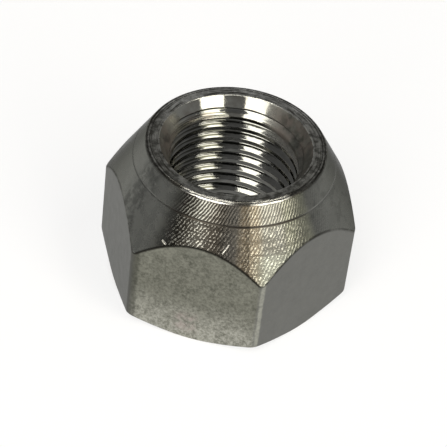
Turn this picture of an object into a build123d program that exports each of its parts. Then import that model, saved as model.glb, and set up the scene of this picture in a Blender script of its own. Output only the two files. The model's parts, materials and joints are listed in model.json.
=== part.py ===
from build123d import *

import os
from math import ceil, cos, radians, tan

# A one-piece steel wheel lug nut: a hexagon with a 60 degree conical seat on top and an open bore
# tapped right through for a 1/2-20 stud. Millimetres. The origin is the centre of the base, +Z runs
# along the bore towards the conical seat, and one corner of the hexagon points along -Y.

# Hexagon
ACROSS_FLATS = 20.4  # a 13/16 in socket fits over it
HEIGHT = 14.7
CORNER_RADIUS = 0.84  # rounding of the six upright corners
BASE_CIRCLE_DIA = 20.2  # the flat base inside the corner chamfer
BASE_CHAMFER_ANGLE = 30.0  # from the base plane

# Conical seat and nose
SEAT_ANGLE = 60.0  # included angle of the cone
SEAT_NOSE_DIA = 16.0  # where the cone would meet the nose plane without the round
NOSE_ROUND = 0.35
SEAT_EDGE_ROUND = 0.3  # softened edge where the cone cuts the flats
SCRIBE_DIA = 18.0  # fine turned line round the seat
SCRIBE_WIDTH = 0.16
SCRIBE_DEPTH = 0.06

# Bore
BORE_DIA = 11.47  # the thread's crest, its minor diameter
COUNTERSINK_DIA = 13.6  # at the nose
COUNTERSINK_ANGLE = 60.0  # included
BASE_BORE_CHAMFER_DIA = 13.1
BASE_BORE_CHAMFER_ANGLE = 90.0  # included

# Thread, right-hand
THREAD_MAJOR_DIA = 12.7
THREAD_PITCH = 1.27
THREAD_ANGLE = 60.0  # included
THREAD_ROOT_FLAT = THREAD_PITCH / 8
THREAD_START = 0.59  # height of a groove's middle on the +X side


def cone_radius(height):
    """Radius of the seat's cone at a height above the base."""
    return SEAT_NOSE_DIA / 2 + (HEIGHT - height) * tan(radians(SEAT_ANGLE / 2))


def cone_height(radius):
    """Height above the base at which the seat's cone has a radius."""
    return HEIGHT - (radius - SEAT_NOSE_DIA / 2) / tan(radians(SEAT_ANGLE / 2))


def turned(profile):
    """A solid of revolution about the bore from a closed half section in X and Z."""
    return revolve(make_face(profile), Axis.Z)


def hexagon_bar():
    """The rolled bar: a hexagon with rounded corners, one corner along -Y."""
    outline = RegularPolygon(ACROSS_FLATS / 2, 6, major_radius=False, rotation=30)
    return extrude(fillet(outline.vertices(), CORNER_RADIUS), HEIGHT)


def turned_envelope():
    """What the lathe leaves: base chamfer, conical seat and rounded nose."""
    reach = ACROSS_FLATS / 2 / cos(radians(30)) + 1
    base = BASE_CIRCLE_DIA / 2
    chamfer_rise = (reach - base) * tan(radians(BASE_CHAMFER_ANGLE))
    section = make_face(
        Plane.XZ
        * Polyline(
            (0, 0),
            (base, 0),
            (reach, chamfer_rise),
            (reach, cone_height(reach)),
            (SEAT_NOSE_DIA / 2, HEIGHT),
            (0, HEIGHT),
            close=True,
        )
    )
    nose_corner = section.vertices().sort_by(Axis.Z)[-2:].sort_by(Axis.X)[-1]
    return revolve(fillet(nose_corner, NOSE_ROUND), Axis.Z)


def bore_cutter():
    """The hole: base chamfer, plain bore and countersink, run past both ends."""
    bore = BORE_DIA / 2
    base_slope = tan(radians(BASE_BORE_CHAMFER_ANGLE / 2))
    sink_slope = tan(radians(COUNTERSINK_ANGLE / 2))
    base_depth = (BASE_BORE_CHAMFER_DIA / 2 - bore) / base_slope
    sink_depth = (COUNTERSINK_DIA / 2 - bore) / sink_slope
    past = 1.0
    return turned(
        Plane.XZ
        * Polyline(
            (0, -past),
            (BASE_BORE_CHAMFER_DIA / 2 + past * base_slope, -past),
            (bore, base_depth),
            (bore, HEIGHT - sink_depth),
            (COUNTERSINK_DIA / 2 + past * sink_slope, HEIGHT + past),
            (0, HEIGHT + past),
            close=True,
        )
    )


def thread_turn(height):
    """One turn of the tapped groove, starting on the +X side at a height."""
    inner = BORE_DIA / 2 - 0.25  # inside the bore, so that the cut leaves the crests flat
    outer = THREAD_MAJOR_DIA / 2
    half_root = THREAD_ROOT_FLAT / 2
    half_mouth = half_root + (outer - inner) * tan(radians(THREAD_ANGLE / 2))
    groove = make_face(
        Plane.XZ
        * Polyline(
            (inner, height - half_mouth),
            (outer, height - half_root),
            (outer, height + half_root),
            (inner, height + half_mouth),
            close=True,
        )
    )
    helix = Helix(THREAD_PITCH, THREAD_PITCH, BORE_DIA / 2, center=(0, 0, height))
    return sweep(groove, path=helix, is_frenet=True)


def thread_cutter():
    """Turns of the groove end to end, run past both faces of the nut."""
    turns = ceil(HEIGHT / THREAD_PITCH) + 2
    first = thread_turn(THREAD_START - THREAD_PITCH)
    return [Pos(0, 0, n * THREAD_PITCH) * first for n in range(turns)]


def scribe_cutter():
    """A ring with a V section that leaves the fine line round the seat."""
    along = SCRIBE_WIDTH / 2 * cos(radians(SEAT_ANGLE / 2))
    middle = cone_height(SCRIBE_DIA / 2)
    return turned(
        Plane.XZ
        * Polyline(
            (cone_radius(middle + along), middle + along),
            (SCRIBE_DIA / 2 + SCRIBE_DEPTH, middle + SCRIBE_DEPTH),
            (cone_radius(middle - along), middle - along),
            (SCRIBE_DIA / 2 - SCRIBE_DEPTH, middle - SCRIBE_DEPTH),
            close=True,
        )
    )


def seat_edges(solid):
    """The arched edges where the cone cuts the flats and the rounded corners."""
    arched = solid.edges().filter_by(GeomType.LINE, reverse=True)
    lowest = cone_height(ACROSS_FLATS / 2 / cos(radians(30))) - 0.1
    return arched.filter_by_position(Axis.Z, lowest, cone_height(ACROSS_FLATS / 2) + 0.1)


nut = hexagon_bar() & turned_envelope()
nut = fillet(seat_edges(nut), SEAT_EDGE_ROUND)
nut = nut - bore_cutter() - scribe_cutter() - thread_cutter()

os.makedirs("parts", exist_ok=True)
export_step(nut, "parts/lug_nut.step")
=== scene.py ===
import json
from math import acos, atan2, cos, hypot, pi, radians, sin, sqrt, tan

import bpy
from mathutils import Matrix, Vector


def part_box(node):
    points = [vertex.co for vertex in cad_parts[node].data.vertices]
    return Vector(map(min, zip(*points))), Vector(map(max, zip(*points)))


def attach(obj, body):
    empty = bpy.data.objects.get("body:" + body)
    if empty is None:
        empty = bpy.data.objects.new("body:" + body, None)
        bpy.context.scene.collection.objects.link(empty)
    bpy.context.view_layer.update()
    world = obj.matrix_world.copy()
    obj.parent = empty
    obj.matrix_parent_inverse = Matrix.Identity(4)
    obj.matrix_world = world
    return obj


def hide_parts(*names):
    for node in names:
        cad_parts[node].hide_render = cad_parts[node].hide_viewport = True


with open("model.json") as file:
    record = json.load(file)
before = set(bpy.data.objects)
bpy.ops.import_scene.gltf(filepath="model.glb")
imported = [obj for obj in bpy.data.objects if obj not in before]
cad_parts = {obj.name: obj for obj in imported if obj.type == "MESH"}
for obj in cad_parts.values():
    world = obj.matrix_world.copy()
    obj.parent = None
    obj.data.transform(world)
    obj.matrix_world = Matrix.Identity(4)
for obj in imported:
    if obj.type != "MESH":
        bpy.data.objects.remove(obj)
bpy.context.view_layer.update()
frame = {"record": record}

# A steel wheel lug nut standing on its base. Lengths on the nut are millimetres in the CAD frame:
# origin at the centre of the base, +Z along the bore to the conical seat. Azimuths are degrees round
# the bore, 0 towards -Y and 90 towards +X. Colours are linear.
MM = 0.001
NODE = "lug_nut"
low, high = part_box(NODE)

# Sizes that the frame gives
HALF_FLATS = (high.x - low.x) / 2 / MM
HEIGHT = high.z / MM
BORE = next(m for m in frame["record"]["mounts"] if m["kind"] == "threaded_hole")["dims"]["r_mm"]

# Outside, as in the part
CORNER_ROUND = 0.84
BASE_CIRCLE = 10.1
BASE_CHAMFER = radians(30)
SEAT_SLOPE = radians(30)  # of the cone's side, from the bore axis
SEAT_EDGE_ROUND = 0.3  # of the arched edges between cone and flats
NOSE = 8.0
NOSE_ROUND = 0.35
SCRIBE = 9.0

# Outside, unlike the part: a finer scribed line, and small rounds where the part is sharp
SCRIBE_HALF = 0.07
SCRIBE_DEPTH = 0.04
BASE_ROUND = 0.3
FOOT_ROUND = 0.35  # where the base chamfer meets the flats
LIP_ROUND = 0.1  # of the bore's two rims

# Bore, as in the part
SINK = 6.8
SINK_SLOPE = radians(30)
BASE_SINK = 6.55
BASE_SINK_SLOPE = radians(45)
MAJOR = 6.35
PITCH = 1.27
ROOT_HALF = PITCH / 16
FLANK = radians(30)
GROOVE_START = 0.59  # height of a groove's middle on the +X side

# Bore, unlike the part
HOLLOW = 0.3  # hollowing of the flanks, per millimetre

# What follows from these sizes
CORNER_CENTRE = (HALF_FLATS - CORNER_ROUND) / cos(pi / 6)  # of a corner's round, from the axis
CORNER_HALF = atan2(CORNER_ROUND * sin(pi / 6), CORNER_CENTRE + CORNER_ROUND * cos(pi / 6))
GROOVE_HALF = ROOT_HALF + (MAJOR - BORE) * tan(FLANK)

# Fineness of the mesh
FLAT_COLUMNS = 40
CORNER_COLUMNS = 8
SCRIBE_MARGIN = 0.015  # narrow rings beside the scribed line, which keep its edges crisp
LIP_DEPTH = 0.25  # how far the outside's rings reach into the bore, along its sinks
END_GAP = 0.015  # a row of the bore nearer than this to those rings joins them

FLATS, SEAT, THREAD = range(3)  # material slots of the nut


# ---- Shape ------------------------------------------------------------------------------------

def hexagon(angle):
    """Radius of the hexagon with rounded corners in a direction; corners lie at 30 + 60k degrees."""
    off = abs(angle % (pi / 3) - pi / 6)
    if off < CORNER_HALF:
        return CORNER_CENTRE * cos(off) + sqrt(CORNER_ROUND**2 - (CORNER_CENTRE * sin(off)) ** 2)
    return HALF_FLATS / cos(pi / 6 - off)


def columns():
    """Directions round the axis, closer together at the six corners."""
    found = []
    span = pi / 3 - 2 * CORNER_HALF
    for side in range(6):
        corner = radians(30 + 60 * side)
        for n in range(CORNER_COLUMNS):
            found.append(corner - CORNER_HALF + 2 * CORNER_HALF * n / CORNER_COLUMNS)
        for n in range(FLAT_COLUMNS):
            found.append(corner + CORNER_HALF + span * n / FLAT_COLUMNS)
    return found


def seat_height(radius):
    return HEIGHT - (radius - NOSE) / tan(SEAT_SLOPE)


def mix(a, b, t):
    return (a[0] + (b[0] - a[0]) * t, a[1] + (b[1] - a[1]) * t)


def softened(before, corner, after, radius, steps):
    """Points of a round that replaces a corner of a profile, no longer than half of either side."""
    into = hypot(corner[0] - before[0], corner[1] - before[1])
    out = hypot(after[0] - corner[0], after[1] - corner[1])
    dot = (corner[0] - before[0]) * (after[0] - corner[0])
    dot += (corner[1] - before[1]) * (after[1] - corner[1])
    turn = acos(max(-1.0, min(1.0, dot / into / out)))
    reach = min(radius * tan(turn / 2), 0.48 * into, 0.48 * out)
    start = mix(corner, before, reach / into)
    end = mix(corner, after, reach / out)
    arc = []
    for n in range(steps + 1):
        t = n / steps
        arc.append(mix(mix(start, corner, t), mix(corner, end, t), t))
    return arc


def straight(a, b, steps):
    """Points between two, without the ends."""
    return [mix(a, b, n / steps) for n in range(1, steps)]


def scribed(radius):
    """A point of the seat at a radius, sunk where the scribed line runs."""
    height = seat_height(radius)
    off = abs(radius - SCRIBE) / sin(SEAT_SLOPE)
    sunk = SCRIBE_DEPTH * max(0.0, 1 - off / SCRIBE_HALF)
    return (radius - sunk * cos(SEAT_SLOPE), height - sunk * sin(SEAT_SLOPE))


def outside(angle):
    """Half section from inside the base sink, round the outside, to inside the nose's countersink.

    Returns (radius, height, slot) points, the same number in every direction.
    """
    side = hexagon(angle)
    base_in = (BASE_SINK - LIP_DEPTH, LIP_DEPTH)
    base_edge = (BASE_SINK, 0.0)
    base = (BASE_CIRCLE, 0.0)
    foot = (side, (side - BASE_CIRCLE) * tan(BASE_CHAMFER))
    shoulder = (side, seat_height(side))
    nose = (NOSE, HEIGHT)
    sink_edge = (SINK, HEIGHT)
    sink_in = (SINK - LIP_DEPTH * sin(SINK_SLOPE), HEIGHT - LIP_DEPTH * cos(SINK_SLOPE))

    base_lip = softened(base_in, base_edge, base, LIP_ROUND, 3)
    base_round = softened(base_edge, base, foot, BASE_ROUND, 3)
    foot_round = softened(base, foot, shoulder, FOOT_ROUND, 4)
    shoulder_round = softened(foot, shoulder, nose, SEAT_EDGE_ROUND, 6)
    nose_round = softened(shoulder, nose, sink_edge, NOSE_ROUND, 10)
    sink_lip = softened(nose, sink_edge, sink_in, LIP_ROUND, 3)

    flats = [base_in] + base_lip + straight(base_lip[-1], base_round[0], 5) + base_round
    flats += straight(base_round[-1], foot_round[0], 3) + foot_round
    flats += straight(foot_round[-1], shoulder_round[0], 12) + shoulder_round[:4]

    ring = SCRIBE_HALF * sin(SEAT_SLOPE)
    places = (ring + SCRIBE_MARGIN, ring, 0.0, -ring, -ring - SCRIBE_MARGIN)
    line = [scribed(SCRIBE + x) for x in places]
    seat = shoulder_round[4:]
    seat += straight(shoulder_round[-1], line[0], 12) + line
    seat += straight(line[-1], nose_round[0], 6) + nose_round
    seat += straight(nose_round[-1], sink_lip[0], 3) + sink_lip

    points = [(r, z, FLATS) for r, z in flats]
    points += [(r, z, SEAT) for r, z in seat]
    points.append((*sink_in, THREAD))
    return points


def groove_radius(offset):
    """Radius of the thread at an axial distance from the middle of a groove.

    The flanks are a little hollow and meet in a worn, rounded root.
    """
    within = max(0.0, GROOVE_HALF - max(abs(offset), ROOT_HALF))
    slope = tan(FLANK)
    deep = (sqrt(slope**2 + 4 * HOLLOW * within) - slope) / (2 * HOLLOW)
    if abs(offset) < ROOT_HALF:
        deep += (ROOT_HALF**2 - offset**2) / (2 * ROOT_HALF * (slope + 2 * HOLLOW * deep))
    return BORE + deep


def thread_offsets():
    """Axial places of the mesh's rows within one pitch, from the groove's middle."""
    root = [0.04, ROOT_HALF, 0.14]
    flank = [0.21, 0.28, 0.35]
    crest = [GROOVE_HALF - 0.03, GROOVE_HALF, GROOVE_HALF + 0.03]
    half = root + flank + crest
    return sorted([-x for x in half] + [0.0] + half + [PITCH / 2])


def sink_radius(height):
    """Radius of the countersink or the base sink at a height, whichever is wider."""
    top = SINK - (HEIGHT - height) * tan(SINK_SLOPE)
    bottom = BASE_SINK - height * tan(BASE_SINK_SLOPE)
    return max(top, bottom)


def inside(turn):
    """Rows of the bore in one column, top to bottom, as (radius, height, place across the thread).

    turn is the column's direction as a share of a turn. The rows go on past both ends of the nut.
    Where a sink is wider than the thread, the row lies on it, and the row nearest a crossing is
    moved onto it.
    """
    offsets = list(reversed(thread_offsets()))
    turns = int(HEIGHT / PITCH) + 4
    rows = []
    for n in range(turns, -3, -1):
        for offset in offsets:
            height = GROOVE_START + (n + turn) * PITCH + offset
            rows.append([height, groove_radius(offset), sink_radius(height), offset])
    for a, b in zip(rows, rows[1:]):
        before = a[1] - a[2]
        after = b[1] - b[2]
        if before * after < 0:
            t = before / (before - after)
            height = a[0] + t * (b[0] - a[0])
            radius = a[1] + t * (b[1] - a[1])
            moved = a if t < 0.5 else b
            moved[:3] = [height, radius, radius]
    return [(max(thread, sink), height, offset) for height, thread, sink, offset in rows]


def nut_mesh():
    """One closed mesh: the outside as rings, the bore as rows that climb with the thread.

    Its point attribute "across" holds each row's place across the thread, for the tool's streaks.
    """
    verts, faces, slots, across = [], [], [], []
    angles = columns()
    count = len(angles)

    def add(radius, height, angle, offset=0.0):
        verts.append((radius * cos(angle) * MM, radius * sin(angle) * MM, height * MM))
        across.append(offset)
        return len(verts) - 1

    profiles = [outside(angle) for angle in angles]
    rings = []
    for row in range(len(profiles[0])):
        rings.append([add(*profiles[c][row][:2], angles[c]) for c in range(count)])
    for row in range(len(rings) - 1):
        for c in range(count):
            d = (c + 1) % count
            faces.append((rings[row][c], rings[row][d], rings[row + 1][d], rings[row + 1][c]))
            slots.append(max(profiles[c][row][2], profiles[c][row + 1][2]))

    top, bottom = profiles[0][-1][1], profiles[0][0][1]
    threads = []
    for c, angle in enumerate(angles):
        ids = []
        for radius, height, offset in inside(angle / (2 * pi)):
            if height > top - END_GAP:
                ids.append(rings[-1][c])
            elif height < bottom + END_GAP:
                ids.append(rings[0][c])
            else:
                ids.append(add(radius, height, angle, offset))
        threads.append(ids)
    period = len(thread_offsets())
    for c in range(count):
        left = threads[c]
        right = threads[(c + 1) % count]
        shift = 0 if c + 1 < count else -period  # the last column meets the first one pitch up
        for row in range(-period, len(left) - 1):
            a, b = max(row, 0), max(row + 1, 0)
            e, f = max(row + shift, 0), max(row + 1 + shift, 0)
            corners = [left[a], right[e], right[f], left[b]]
            loop = [v for n, v in enumerate(corners) if v != corners[n - 1]]
            if len(loop) > 2 and len(set(loop)) == len(loop):
                faces.append(tuple(loop))
                slots.append(THREAD)

    mesh = bpy.data.meshes.new("lug_nut_steel")
    mesh.from_pydata(verts, [], faces)
    mesh.polygons.foreach_set("material_index", slots)
    mesh.attributes.new("across", "FLOAT", "POINT").data.foreach_set("value", across)
    mesh.validate()
    return mesh


# ---- Materials --------------------------------------------------------------------------------

class Shader:
    """One material's node tree, built by small steps. Inside it lengths are millimetres."""

    def __init__(self, name):
        self.material = bpy.data.materials.new(name)
        self.material.use_nodes = True
        self.nodes = self.material.node_tree.nodes
        self.links = self.material.node_tree.links
        self.surface = self.nodes["Principled BSDF"]
        place = self.nodes.new("ShaderNodeTexCoord").outputs["Object"]
        self.at = self.vector("SCALE", place, scale=1 / MM)
        parts = self.nodes.new("ShaderNodeSeparateXYZ")
        self.links.new(self.at, parts.inputs[0])
        self.x, self.y, self.z = parts.outputs
        squares = self.sum(self.times(self.x, self.x), self.times(self.y, self.y))
        self.radius = self.math("SQRT", squares)
        self.angle = self.math("ARCTAN2", self.y, self.x)

    def put(self, socket, value):
        if isinstance(value, bpy.types.NodeSocket):
            self.links.new(value, socket)
        elif isinstance(value, tuple) and len(value) == 3 and socket.type == "RGBA":
            socket.default_value = (*value, 1)
        else:
            socket.default_value = value

    def set(self, **values):
        """Values or sockets for the surface; an underscore stands for a space in a socket's name."""
        for name, value in values.items():
            self.put(self.surface.inputs[name.replace("_", " ")], value)

    def math(self, operation, *values):
        node = self.nodes.new("ShaderNodeMath")
        node.operation = operation
        for socket, value in zip(node.inputs, values):
            self.put(socket, value)
        return node.outputs[0]

    def vector(self, operation, first, scale=1.0):
        node = self.nodes.new("ShaderNodeVectorMath")
        node.operation = operation
        self.put(node.inputs[0], first)
        node.inputs["Scale"].default_value = scale
        return node.outputs[0]

    def combined(self, x, y, z):
        node = self.nodes.new("ShaderNodeCombineXYZ")
        for socket, value in zip(node.inputs, (x, y, z)):
            self.put(socket, value)
        return node.outputs[0]

    def noise(self, scale, detail=2.0, roughness=0.5, at=None):
        """Noise from 0 to 1; scale is its lumps per millimetre."""
        node = self.nodes.new("ShaderNodeTexNoise")
        self.put(node.inputs["Vector"], self.at if at is None else at)
        node.inputs["Scale"].default_value = scale
        node.inputs["Detail"].default_value = detail
        node.inputs["Roughness"].default_value = roughness
        return node.outputs[0]

    def ramp(self, value, start, end, low=0.0, high=1.0, shape="SMOOTHSTEP"):
        """Step of a value from low at start to high at end."""
        node = self.nodes.new("ShaderNodeMapRange")
        node.interpolation_type = shape
        for socket, setting in zip(node.inputs, (value, start, end, low, high)):
            self.put(socket, setting)
        return node.outputs[0]

    def hump(self, value, middle, half, soft):
        """1 within half of the middle, falling to 0 over soft."""
        off = self.math("ABSOLUTE", self.math("SUBTRACT", value, middle))
        return self.ramp(off, half, half + soft, 1.0, 0.0)

    def times(self, *values):
        product = values[0]
        for value in values[1:]:
            product = self.math("MULTIPLY", product, value)
        return product

    def sum(self, *values):
        total = values[0]
        for value in values[1:]:
            total = self.math("ADD", total, value)
        return total

    def without(self, value):
        """One minus a value."""
        return self.sum(1.0, self.times(value, -1.0))

    def most(self, *values):
        """The largest of the values."""
        largest = values[0]
        for value in values[1:]:
            largest = self.math("MAXIMUM", largest, value)
        return largest

    def blend(self, factor, a, b):
        node = self.nodes.new("ShaderNodeMix")
        node.data_type = "RGBA"
        self.put(node.inputs[0], factor)
        self.put(node.inputs[6], a)
        self.put(node.inputs[7], b)
        return node.outputs[2]

    def around(self, coarse, fine, along):
        """A place for noise that runs in long streaks round the bore, with no seam."""
        x = self.times(self.math("DIVIDE", self.x, self.radius), coarse)
        y = self.times(self.math("DIVIDE", self.y, self.radius), coarse)
        return self.combined(x, y, self.times(along, fine))

    def toward(self, azimuth, half, soft):
        """1 on the side that faces an azimuth, within half of it, falling to 0 over soft; degrees."""
        turn = self.math("WRAP", self.sum(self.angle, radians(90 - azimuth)), pi, -pi)
        return self.hump(turn, 0.0, radians(half), radians(soft))

    def relief(self, *layers):
        """Bump from (height, depth in millimetres) layers."""
        normal = None
        for height, depth in layers:
            node = self.nodes.new("ShaderNodeBump")
            self.put(node.inputs["Height"], height)
            node.inputs["Distance"].default_value = depth * MM
            if normal is not None:
                self.links.new(normal, node.inputs["Normal"])
            normal = node.outputs[0]
        self.links.new(normal, self.surface.inputs["Normal"])


# Tint of the metal's glare at grazing angles
GRAZING = (0.65, 0.65, 0.65)
SEAT_GRAZING = (0.35, 0.35, 0.35)

# Colour of a dark line along the arched edges between cone and flats
ARCH_DARK_LINE = (0.012, 0.011, 0.009)


def arch_dark_line(s, distance, reach):
    """A dark line along the arched edge between cone and flat: full over one flat, faint and broken on the
    rest.

    distance is how far a point lies from that edge, and reach how far the dark line goes.
    """
    broken = s.times(s.ramp(s.noise(0.7, 3.0, 0.6), 0.35, 0.6), 0.4)
    broken = s.sum(broken, s.times(s.toward(18, 14, 16), 0.35), 0.06)
    full = s.toward(-31, 29, 5)
    strength = s.most(s.times(full, 0.92), broken)
    return s.times(s.ramp(distance, 0.02, reach, 1.0, 0.0), strength)


# The flats. A pitted one faces the front left, and another like it the back.
PITTED_FLAT = (-30, 28, 3)
PITTED_BACK = (150, 28, 3)
# Sides whose corners get a painted highlight: azimuth, half width and soft edge in degrees
CORNER_HIGHLIGHT_FRONT = (0, 20, 5)
CORNER_HIGHLIGHT_BACK = (150, 70, 15)
PLAIN = ((0.150, 0.152, 0.143), (0.185, 0.186, 0.175))
PLAIN_PIT = (0.215, 0.215, 0.20)
PITTED = ((0.096, 0.097, 0.078), (0.134, 0.134, 0.110))
PIT = (0.25, 0.25, 0.207)
FOOT = (0.155, 0.155, 0.127)
FOOT_PIT = (0.48, 0.475, 0.42)
ROSE = (0.42, 0.33, 0.32)
# Colour of the painted highlight beside the corners
CORNER_HIGHLIGHT = (0.42, 0.42, 0.36)
# Colour of the painted shade beside a corner
CORNER_SHADE = (0.06, 0.06, 0.05)


def below_arch(s):
    """Distance down a flat from its arched edge."""
    edge = s.sum(HEIGHT + NOSE / tan(SEAT_SLOPE), s.times(s.radius, -1 / tan(SEAT_SLOPE)))
    return s.math("SUBTRACT", edge, s.z)


def from_corner(s):
    """Distance round the hexagon from the nearest corner, positive anticlockwise."""
    turn = s.math("DIVIDE", s.sum(s.angle, 2 * pi), pi / 3)
    part = s.math("SUBTRACT", s.math("FRACT", turn), 0.5)
    return s.times(part, pi / 3, HALF_FLATS / cos(pi / 6))


def flat_steel():
    """The rolled flats: dull, two of them pitted towards the foot, darker along the arched edges, with a
    painted highlight and painted shade beside corners.
    """
    s = Shader("flat_steel")
    grain = s.noise(3.8, 5.0, 0.75)
    clouds = s.noise(0.55, 3.0, 0.6)
    blotches = s.noise(1.3, 3.0, 0.65)
    pits = s.ramp(s.sum(grain, s.times(blotches, 0.5)), 0.5, 1.0)
    foot = s.ramp(s.sum(s.z, s.times(clouds, 2.5), s.times(blotches, 2.0)), 7.6, 3.0)
    pitted = s.most(s.toward(*PITTED_FLAT), s.times(s.toward(*PITTED_BACK), 0.8))

    plain = s.blend(clouds, *PLAIN)
    plain = s.blend(s.times(pits, 0.4), plain, PLAIN_PIT)
    dull = s.blend(s.ramp(clouds, 0.3, 0.7), *PITTED)
    dull = s.blend(pits, dull, PIT)
    bright = s.blend(pits, FOOT, FOOT_PIT)
    colour = s.blend(pitted, plain, s.blend(foot, dull, bright))
    rose = s.times(s.hump(s.z, 1.9, 0.5, 1.0), s.toward(-33, 3, 5), s.ramp(blotches, 0.35, 0.6))
    colour = s.blend(s.times(rose, 0.35), colour, ROSE)

    corner = s.sum(from_corner(s), s.times(s.noise(1.5, 2.0), 0.3), -0.15)
    highlight_side = s.most(s.toward(*CORNER_HIGHLIGHT_FRONT), s.times(s.toward(*CORNER_HIGHLIGHT_BACK), 0.6))
    # Painted highlight beside the front corner and the back corners, on their anticlockwise side
    light = s.times(s.hump(corner, 0.16, 0.10, 0.2), highlight_side, s.sum(0.35, s.times(pits, 0.5)))
    # Painted shade beside the corner at the left of the front left flat
    dark = s.times(s.hump(corner, 0.15, 0.28, 0.35), s.toward(-60, 20, 5), 0.6)
    colour = s.blend(light, colour, CORNER_HIGHLIGHT)
    colour = s.blend(dark, colour, CORNER_SHADE)
    # A dark line along the arched edges
    colour = s.blend(arch_dark_line(s, below_arch(s), 0.25), colour, ARCH_DARK_LINE)

    rough = s.sum(0.36, s.times(s.noise(1.2, 2.0), 0.14))
    s.set(Base_Color=colour, Metallic=1.0, Roughness=rough, Specular_Tint=GRAZING)
    s.relief((s.noise(6.0, 3.0, 0.6), 0.005), (grain, 0.010))
    return s.material


# Tool marks of the seat
CHATTER = 186  # lines round the seat
CHATTER_SLANT = radians(28)  # from the line of steepest slope
NOSE_RING = 7.62  # radius of the fine ring turned into the nose

# Sides of the seat: azimuth, half width and soft edge in degrees
MARKED_FRONT = (-11, 30, 14)
MARKED_BACK = (161, 36, 20)
CALM = (-19, 2.5, 5)
LEFT_GLEAM = (-33, 10, 11)
RIGHT_GLEAM = (8, 14, 10)
SEAT_FRONT = (-12, 44, 14)

# The cone's colours
CONE = ((0.19, 0.193, 0.176), (0.25, 0.252, 0.232))
# Colour of a painted brown reflection on the cone
CONE_BROWN_REFLECTION = (0.17, 0.15, 0.12)
DARK_BLOTCHES = (0.085, 0.087, 0.08)
# Colour of the painted highlight on the chatter's ridges
RIDGE_HIGHLIGHT = (0.38, 0.365, 0.315)
# Colour of the painted shade in the chatter's valleys
VALLEY_SHADE = (0.010, 0.008, 0.006)
GLINT = (0.52, 0.50, 0.44)
# Colour of the painted highlight at the cone's tip
TIP_HIGHLIGHT = (0.40, 0.42, 0.36)
NICK = (0.6, 0.58, 0.52)
# Colours of the painted shade in the scribed line: black in front, softer elsewhere
SCRIBE_SHADE = (0.02, 0.016, 0.012)
SCRIBE_SOFT_SHADE = ((0.13, 0.13, 0.12), (0.27, 0.27, 0.255))

# Painted shade and painted tints on the cone: side, strength, colour
CONE_PAINTED_LIGHT = (
    ((-44.5, 5, 8), 0.66, (0.06, 0.06, 0.054)),  # painted shade at the left highlight's left edge
    ((-18.5, 5.5, 9), 0.72, (0.085, 0.074, 0.063)),  # painted brown shade between the highlights
    ((62, 28, 10), 0.45, (0.12, 0.122, 0.113)),  # painted grey shade on the right side
    ((-5.5, 3, 5), 0.6, (0.36, 0.28, 0.18)),  # painted straw tint at the right highlight's left edge
    ((22, 5, 6), 0.7, (0.36, 0.365, 0.275)),  # painted olive tint at the right highlight's right edge
)

# The nose's colours
NOSE_STEEL = ((0.18, 0.178, 0.16), (0.58, 0.575, 0.53))
NOSE_BRIGHT = ((0.50, 0.50, 0.47), (0.93, 0.93, 0.89))
NOSE_STREAK = (0.10, 0.095, 0.08)
NOSE_DARK = (0.03, 0.028, 0.024)
RIM_DARK = (0.07, 0.066, 0.058)
# Colour of the painted highlight on the front rim's lip
LIP_HIGHLIGHT = (0.55, 0.54, 0.50)
INNER_RIM = (0.62, 0.62, 0.58)


def from_flat(s):
    """Distance in from the nearest flat's plane."""
    half_x = s.times(s.x, 0.5)
    part_y = s.times(s.y, cos(pi / 6))
    reach = s.math("ABSOLUTE", s.x)
    reach = s.most(reach, s.math("ABSOLUTE", s.sum(half_x, part_y)))
    reach = s.most(reach, s.math("ABSOLUTE", s.math("SUBTRACT", half_x, part_y)))
    return s.math("SUBTRACT", HALF_FLATS, reach)


def nick(s, down, azimuth, depth, length, width, slant):
    """A short straight nick in the cone, depth down it: 1 inside. Sizes in mm and degrees."""
    along = s.times(s.sum(s.angle, radians(90 - azimuth)), NOSE + depth / 2)
    below = s.sum(down, -depth)
    c, k = cos(radians(slant)), sin(radians(slant))
    lengthwise = s.sum(s.times(along, k), s.times(below, -c))
    sideways = s.sum(s.times(along, c), s.times(below, k))
    return s.times(s.hump(lengthwise, 0, length / 2, 0.1), s.hump(sideways, 0, width / 2, 0.05))


def chatter_marks(s, down, crumbs):
    """Slanting lines round the cone, from -1 to 1: torn below the scribed line, calm beside it."""
    below_line = s.ramp(s.radius, SCRIBE, SCRIBE + 0.04)
    wander = s.sum(s.times(s.noise(0.45, 2.0), 9.0), s.times(s.noise(2.4, 3.0, 0.7), 5.0))
    wander = s.sum(wander, s.times(s.noise(5.5, 2.0, 0.6), s.sum(2.0, s.times(below_line, 4.0))))
    slant = s.times(down, CHATTER * tan(CHATTER_SLANT) / SCRIBE)
    lines = s.math("SINE", s.sum(s.times(s.angle, CHATTER), slant, wander))
    torn = s.sum(s.times(lines, s.ramp(crumbs, 0.36, 0.56)), s.times(crumbs, 4.0), -2.0)
    lines = s.sum(lines, s.times(below_line, 0.8, s.math("SUBTRACT", torn, lines)))
    rows = s.ramp(s.noise(1.0, 2.0, 0.6, s.around(2.5, 4.0, down)), 0.38, 0.48, -0.9, 0.0)
    rows = s.times(rows, s.sum(0.5, s.times(below_line, 0.5)))
    marked = s.most(s.toward(*MARKED_FRONT), s.times(s.toward(*MARKED_BACK), 0.8))
    marked = s.sum(0.2, s.times(marked, 0.8))
    faint = s.most(s.times(s.toward(*CALM), 0.35), s.hump(s.radius, SCRIBE, 0.05, 0.03))
    on_cone = s.ramp(down, 0.12, 0.3)
    return s.times(marked, s.without(faint), s.sum(lines, rows), on_cone)


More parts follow.
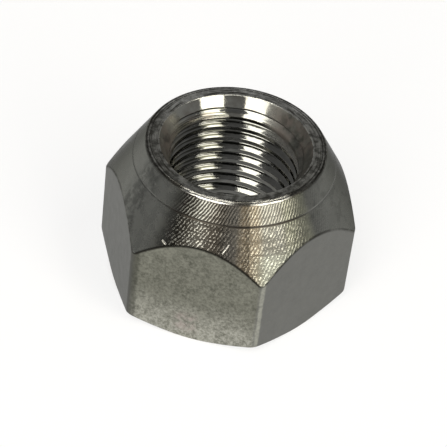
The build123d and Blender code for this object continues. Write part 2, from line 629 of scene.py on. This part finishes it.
def cone_colour(s, down, crumbs, patchy, chatter, nicks):
    """Clouded steel with a painted brown reflection, darker blotches, painted shade and painted tints,
    then painted highlights on the chatter's ridges and painted shade in its valleys.
    """
    left = s.toward(*LEFT_GLEAM)
    right = s.toward(*RIGHT_GLEAM)
    colour = s.blend(s.noise(0.35, 3.0, 0.6), *CONE)
    # Painted brown reflection, in patches over the front of the cone
    colour = s.blend(s.times(patchy, 0.3, s.toward(-14, 26, 16)), colour, CONE_BROWN_REFLECTION)
    # Darker blotches in a narrow band on the left of the cone, and spots on its right
    dark_band = s.times(s.toward(-75, 4, 8), s.ramp(s.noise(1.4, 3.0, 0.6), 0.38, 0.58))
    spots = s.times(s.ramp(s.noise(0.9, 3.0, 0.6), 0.50, 0.62), s.toward(50, 18, 10))
    colour = s.blend(s.times(s.most(dark_band, s.times(spots, 0.6)), 0.65), colour, DARK_BLOTCHES)
    # Painted shade and painted tints over the cone's sides
    for side, strength, film_and_tint in CONE_PAINTED_LIGHT:
        colour = s.blend(s.times(s.toward(*side), strength), colour, film_and_tint)
    # Painted highlight on the chatter's ridges, where the lamps mirror in the cone
    ridge_highlight = s.times(s.ramp(chatter, 0.3, 0.9), s.sum(s.times(left, 0.15), s.times(right, 0.4)))
    colour = s.blend(ridge_highlight, colour, RIDGE_HIGHLIGHT)
    glints = s.times(s.ramp(s.noise(8.0, 2.0, 0.6), 0.50, 0.62), right, 0.4)
    colour = s.blend(glints, colour, GLINT)
    # Painted highlight low on the cone's tip under the right highlight, broken by the crumbs
    tip_highlight = s.times(s.toward(8, 6, 9), s.ramp(s.sum(down, s.times(crumbs, 1.5)), 4.9, 6.0))
    colour = s.blend(s.times(tip_highlight, 0.6), colour, TIP_HIGHLIGHT)
    # Painted shade in the chatter's valleys: faint all round, strongest where the highlights fall
    deep = s.sum(0.12, s.times(left, 0.78), s.times(right, 0.5))
    colour = s.blend(s.times(s.ramp(chatter, 0.7, 0.1), deep), colour, VALLEY_SHADE)
    return s.blend(s.times(nicks, 0.9), colour, NICK)


def nose_colour(s, cone, down, on_nose, rings, groove, edge, lip_gleam):
    """The cone's colour with the nose over it: scuffed, streaked by the rings, dark at its rim.

    Returns also the lip: 1 where the front rim has a painted highlight, on the sides where the lamps
    mirror in it.
    """
    front = s.toward(*SEAT_FRONT)
    scuffs = s.ramp(s.noise(1.3, 5.0, 0.75), 0.38, 0.62)
    nose = s.blend(scuffs, *NOSE_STEEL)
    bright = s.blend(scuffs, *NOSE_BRIGHT)
    nose = s.blend(s.times(s.toward(165, 45, 30), 0.9), nose, bright)
    nose = s.blend(s.ramp(rings, 0.52, 0.36), nose, NOSE_STREAK)
    colour = s.blend(on_nose, cone, nose)
    colour = s.blend(s.times(groove, 0.8), colour, NOSE_DARK)
    dark_edge = s.times(s.hump(edge, NOSE + 0.03, 0.05, 0.06), s.without(front))
    colour = s.blend(s.times(dark_edge, 0.8), colour, NOSE_DARK)
    rim = s.times(s.hump(edge, NOSE - 0.03, 0.21, 0.05), s.ramp(down, 0.2, 0.05), front)
    colour = s.blend(s.times(rim, 0.8), colour, RIM_DARK)
    # Painted highlight on the front rim's lip, on the sides where the lamps mirror in it
    lip_highlight = s.times(rim, lip_gleam)
    colour = s.blend(lip_highlight, colour, LIP_HIGHLIGHT)
    inner = s.times(s.hump(s.radius, SINK + 0.02, 0.03, 0.05), s.ramp(scuffs, 0.1, 0.6))
    return s.blend(s.times(inner, 0.75), colour, INNER_RIM), lip_highlight


def scribe_shade(s, down, colour):
    """The colour, with painted shade in the scribed line: black in front, dull and faint elsewhere."""
    line_shade = s.times(s.hump(s.radius, SCRIBE, 0.03, 0.025), s.ramp(down, 0.12, 0.3))
    # The painted shade is strongest across the front
    front_shade = s.times(s.sum(0.75, s.times(s.noise(0.6, 2.0), 0.25)), s.toward(-14, 30, 22))
    dull = s.blend(s.toward(78, 44, 14), *SCRIBE_SOFT_SHADE)
    colour = s.blend(s.times(line_shade, 0.6), colour, dull)
    return s.blend(s.times(line_shade, front_shade), colour, SCRIBE_SHADE)


def seat_steel():
    """The turned seat and nose: slanting chatter lines, rings on the nose, painted shade in the scribed
    line.
    """
    s = Shader("seat_steel")
    down = s.times(s.math("SUBTRACT", HEIGHT, s.z), 1 / cos(SEAT_SLOPE))
    on_nose = s.ramp(down, 0.12, 0.02)
    crumbs = s.noise(4.6, 2.0, 0.6)
    patchy = s.ramp(s.noise(1.1, 3.0, 0.6), 0.35, 0.65)
    chatter = chatter_marks(s, down, crumbs)
    nicks = s.most(
        nick(s, down, -47.8, 4.97, 0.4, 0.1, -65),
        nick(s, down, -17.5, 4.0, 0.9, 0.05, 30),
    )
    rings = s.times(s.noise(1.0, 3.0, 0.65, s.around(2.5, 9.0, s.radius)), on_nose)
    groove = s.times(s.hump(s.radius, NOSE_RING, 0.02, 0.06), on_nose)
    edge = s.sum(s.radius, s.times(s.noise(2.2, 4.0, 0.75), 0.3))
    # Sides where the front rim's lip gets its painted highlight
    lip_gleam = s.most(s.toward(-33, 13, 6), s.toward(8, 10, 5))
    rolled = s.most(s.toward(-34, 14, 30), s.times(s.toward(6, 8, 20), 0.6))

    colour = cone_colour(s, down, crumbs, patchy, chatter, nicks)
    colour, lip_highlight = nose_colour(s, colour, down, on_nose, rings, groove, edge, lip_gleam)
    colour = scribe_shade(s, down, colour)
    # A dark line along the arched edges
    colour = s.blend(arch_dark_line(s, from_flat(s), 0.12), colour, ARCH_DARK_LINE)

    smoothed = s.times(s.toward(*LEFT_GLEAM), -0.05)
    rough = s.sum(0.25, s.times(patchy, 0.06), s.times(lip_highlight, -0.12), smoothed)
    s.set(Base_Color=colour, Metallic=1.0, Roughness=rough, Specular_Tint=SEAT_GRAZING)
    s.relief(
        (s.noise(4.0, 3.0, 0.6), 0.004),
        (chatter, 0.004),
        (rings, 0.03),
        (s.times(s.ramp(edge, NOSE - 0.23, NOSE + 0.03), rolled, -1.0), 0.14),
        (s.times(s.sum(groove, nicks), -1.0), 0.02),
    )
    return s.material


# The thread and the countersinks
BORE_STEEL = ((0.27, 0.27, 0.253), (0.32, 0.32, 0.303))
SINK_STEEL = (0.36, 0.362, 0.33)
SINK_STAIN = (0.20, 0.175, 0.15)
STREAK = (0.07, 0.07, 0.052)
# A dull film on the sinks' two sides; its dark brown and grey colours are a painted reflection
FILM_AND_REFLECTION = ((0.048, 0.049, 0.044), (0.084, 0.075, 0.067))
FILM_STAIN = (0.10, 0.086, 0.077)
FILM_SPOT = (0.022, 0.022, 0.02)
# Sides of the film and its painted reflection: azimuth, half width and soft edge in degrees
BROWN_FILM_REFLECTION = (-84, 30, 34)
GREY_FILM_REFLECTION = (84, 32, 30)


def thread_steel():
    """The tapped thread and the countersinks, with fine streaks that follow the thread."""
    s = Shader("thread_steel")
    across = s.nodes.new("ShaderNodeAttribute")
    across.attribute_name = "across"
    tool = s.noise(1.0, 3.0, 0.6, s.around(0.6, 11.0, across.outputs["Fac"]))
    off = s.sum(s.radius, -SINK, s.times(s.math("SUBTRACT", HEIGHT, s.z), tan(SINK_SLOPE)))
    sunk = s.hump(off, 0.0, 0.01, 0.02)
    lumps = s.noise(1.6, 3.0, 0.55)
    stain = s.ramp(s.noise(0.45, 3.0, 0.6), 0.4, 0.65)

    colour = s.blend(s.ramp(lumps, 0.3, 0.7), *BORE_STEEL)
    colour = s.blend(sunk, colour, SINK_STEEL)
    smooth = s.times(sunk, s.ramp(s.z, 13.4, 13.6))
    streaky = s.times(s.ramp(s.x, 1.3, 0.4, 0.12, 0.95), s.without(smooth))
    colour = s.blend(s.times(s.ramp(tool, 0.55, 0.45), streaky), colour, STREAK)
    colour = s.blend(s.times(sunk, stain, 0.6), colour, SINK_STAIN)

    # A dull film on the sinks' two sides near the top, darker and rougher; its brown and grey are a
    # painted reflection
    brown = s.toward(*BROWN_FILM_REFLECTION)
    film_and_tint = s.most(brown, s.toward(*GREY_FILM_REFLECTION))
    broken = s.ramp(s.noise(1.0, 4.0, 0.65), 0.3, 0.6, 0.8, 1.0)
    film_and_tint = s.times(film_and_tint, s.ramp(s.z, 11.2, 12.4), broken)
    grime_and_reflection = s.blend(brown, *FILM_AND_REFLECTION)
    grime_and_reflection = s.blend(stain, grime_and_reflection, FILM_STAIN)
    spots = s.ramp(s.noise(0.7, 3.0, 0.65), 0.50, 0.60)
    grime_and_reflection = s.blend(s.times(spots, 0.7), grime_and_reflection, FILM_SPOT)
    colour = s.blend(film_and_tint, colour, grime_and_reflection)

    metallic = s.math("SUBTRACT", 1.0, s.times(film_and_tint, 0.6))
    rough = s.sum(0.055, s.times(lumps, 0.06), s.times(film_and_tint, 0.45))
    s.set(Base_Color=colour, Metallic=metallic, Roughness=rough, Specular_Tint=GRAZING)
    s.relief((s.times(tool, streaky), 0.015), (lumps, 0.008))
    return s.material


# The floor
FLOOR_COLOUR = (0.95, 0.95, 0.97)
FLOOR_HALF = 3.0  # metres
FLOOR_GLOW = 0.75  # how much of it the camera and the metal see as plain white
GLOW_UNDER_NUT = 0.35  # share of that glow that is left under the nut


def pale_floor():
    s = Shader("pale_floor")
    s.set(Base_Color=FLOOR_COLOUR, Roughness=0.9, Specular_IOR_Level=0.1)
    rays = s.nodes.new("ShaderNodeLightPath").outputs
    seen = s.most(rays["Is Camera Ray"], rays["Is Glossy Ray"], rays["Is Transmission Ray"])
    lit = s.ramp(s.radius, BASE_CIRCLE - 0.5, BASE_CIRCLE + 0.5, GLOW_UNDER_NUT, 1.0, "LINEAR")
    white = s.nodes.new("ShaderNodeEmission")
    both = s.nodes.new("ShaderNodeMixShader")
    s.put(both.inputs[0], s.times(seen, lit, FLOOR_GLOW))
    s.put(both.inputs[1], s.surface.outputs[0])
    s.put(both.inputs[2], white.outputs[0])
    s.put(s.nodes["Material Output"].inputs["Surface"], both.outputs[0])
    return s.material


# ---- Scene ------------------------------------------------------------------------------------

# Camera, as fitted to the photograph
CAMERA_AZIMUTH = -18.75
CAMERA_ELEVATION = 42.05
CAMERA_ROLL = 7.25
CAMERA_DISTANCE = 185.98
CAMERA_AIM = (-1.02, -2.23, 7.35)
LENS = 168.0
SENSOR = 36

# Lamps. Places and sizes in metres and degrees: azimuth, heights of foot and top, width, lean, colour
LAMP_DISTANCE = 0.5
LAMP_RADIANCE = 4.8
LEFT_LIGHT = (1, 0.975, 0.9)
RIGHT_LIGHT = (1, 0.965, 0.85)
LAMPS = {
    "left_lamp": (-52, 0.31, 1.95, 0.42, 6, LEFT_LIGHT),
    "left_lamp_foot": (-40.5, 0.09, 0.31, 0.29, 6, LEFT_LIGHT),
    "right_lamp": (53, 0.45, 1.6, 0.33, -17, RIGHT_LIGHT),
    "right_lamp_foot": (25.5, 0.09, 0.45, 0.31, -11, RIGHT_LIGHT),
}

# Grey of the room, from near the horizon to overhead, against the height of the view's direction
ROOM_LOW, ROOM_HIGH = 0.34, 0.15
ROOM_FADE = (0.1, 0.8)


def build_nut():
    mesh = nut_mesh()
    nut = bpy.data.objects.new("lug_nut_steel", mesh)
    bpy.context.scene.collection.objects.link(nut)
    for material in (flat_steel(), seat_steel(), thread_steel()):
        mesh.materials.append(material)
    for polygon in mesh.polygons:
        polygon.use_smooth = True
    weigh = nut.modifiers.new("weighted_normals", "WEIGHTED_NORMAL")
    weigh.mode = "FACE_AREA"
    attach(nut, "root")
    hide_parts(NODE)


def build_floor():
    """A pale floor. The camera and the metal see it nearly white, and it keeps the nut's shadow.

    Under the nut its glow is turned down, so that more of the light that reaches it through the bore
    shows.
    """
    mesh = bpy.data.meshes.new("floor")
    half = FLOOR_HALF
    corners = [(-half, -half, 0), (half, -half, 0), (half, half, 0), (-half, half, 0)]
    mesh.from_pydata(corners, [], [(0, 1, 2, 3)])
    floor = bpy.data.objects.new("floor", mesh)
    bpy.context.scene.collection.objects.link(floor)
    mesh.materials.append(pale_floor())


def direction(azimuth, elevation):
    """Unit vector of an azimuth and an elevation in degrees."""
    a, e = radians(azimuth), radians(elevation)
    return Vector((sin(a) * cos(e), -cos(a) * cos(e), sin(e)))


def add_lamp(name, azimuth, foot, top, width, lean, colour):
    """An upright softbox that faces the nut and leans sideways in its own plane."""
    data = bpy.data.lights.new(name, "AREA")
    data.shape = "RECTANGLE"
    data.size = width
    data.size_y = top - foot
    data.energy = LAMP_RADIANCE * pi * width * (top - foot)
    data.color = colour
    lamp = bpy.data.objects.new(name, data)
    bpy.context.scene.collection.objects.link(lamp)
    lamp.location = direction(azimuth, 0) * LAMP_DISTANCE + Vector((0, 0, (foot + top) / 2))
    upright = Matrix.Rotation(radians(azimuth), 4, "Z") @ Matrix.Rotation(radians(90), 4, "X")
    lamp.rotation_euler = (upright @ Matrix.Rotation(radians(lean), 4, "Z")).to_euler()


def light_scene():
    """A grey room, lighter near the horizon, and two tall softboxes, each with a small one at its foot."""
    world = bpy.data.worlds.new("studio")
    world.use_nodes = True
    nodes, links = world.node_tree.nodes, world.node_tree.links
    way = nodes.new("ShaderNodeTexCoord").outputs["Generated"]
    parts = nodes.new("ShaderNodeSeparateXYZ")
    fade = nodes.new("ShaderNodeMapRange")
    fade.interpolation_type = "SMOOTHSTEP"
    fade.inputs["From Min"].default_value = ROOM_FADE[0]
    fade.inputs["From Max"].default_value = ROOM_FADE[1]
    fade.inputs["To Min"].default_value = ROOM_LOW
    fade.inputs["To Max"].default_value = ROOM_HIGH
    links.new(way, parts.inputs[0])
    links.new(parts.outputs["Z"], fade.inputs["Value"])
    links.new(fade.outputs[0], nodes["Background"].inputs["Color"])
    bpy.context.scene.world = world
    for name, setting in LAMPS.items():
        add_lamp(name, *setting)


def add_camera():
    """A long lens that looks down on the nut from the front left, a little rolled."""
    data = bpy.data.cameras.new("camera")
    data.sensor_width = SENSOR
    data.lens = LENS
    data.clip_start = 0.01
    camera = bpy.data.objects.new("camera", data)
    bpy.context.scene.collection.objects.link(camera)
    back = direction(CAMERA_AZIMUTH, CAMERA_ELEVATION)
    level = direction(CAMERA_AZIMUTH + 90, 0)
    upright = back.cross(level)
    roll = radians(CAMERA_ROLL)
    right = level * cos(roll) + upright * sin(roll)
    up = upright * cos(roll) - level * sin(roll)
    place = (Vector(CAMERA_AIM) + back * CAMERA_DISTANCE) * MM
    camera.matrix_world = Matrix(
        (
            (right.x, up.x, back.x, place.x),
            (right.y, up.y, back.y, place.y),
            (right.z, up.z, back.z, place.z),
            (0, 0, 0, 1),
        )
    )
    bpy.context.scene.camera = camera


build_nut()
build_floor()
light_scene()
add_camera()
bpy.context.scene.view_settings.view_transform = "Standard"
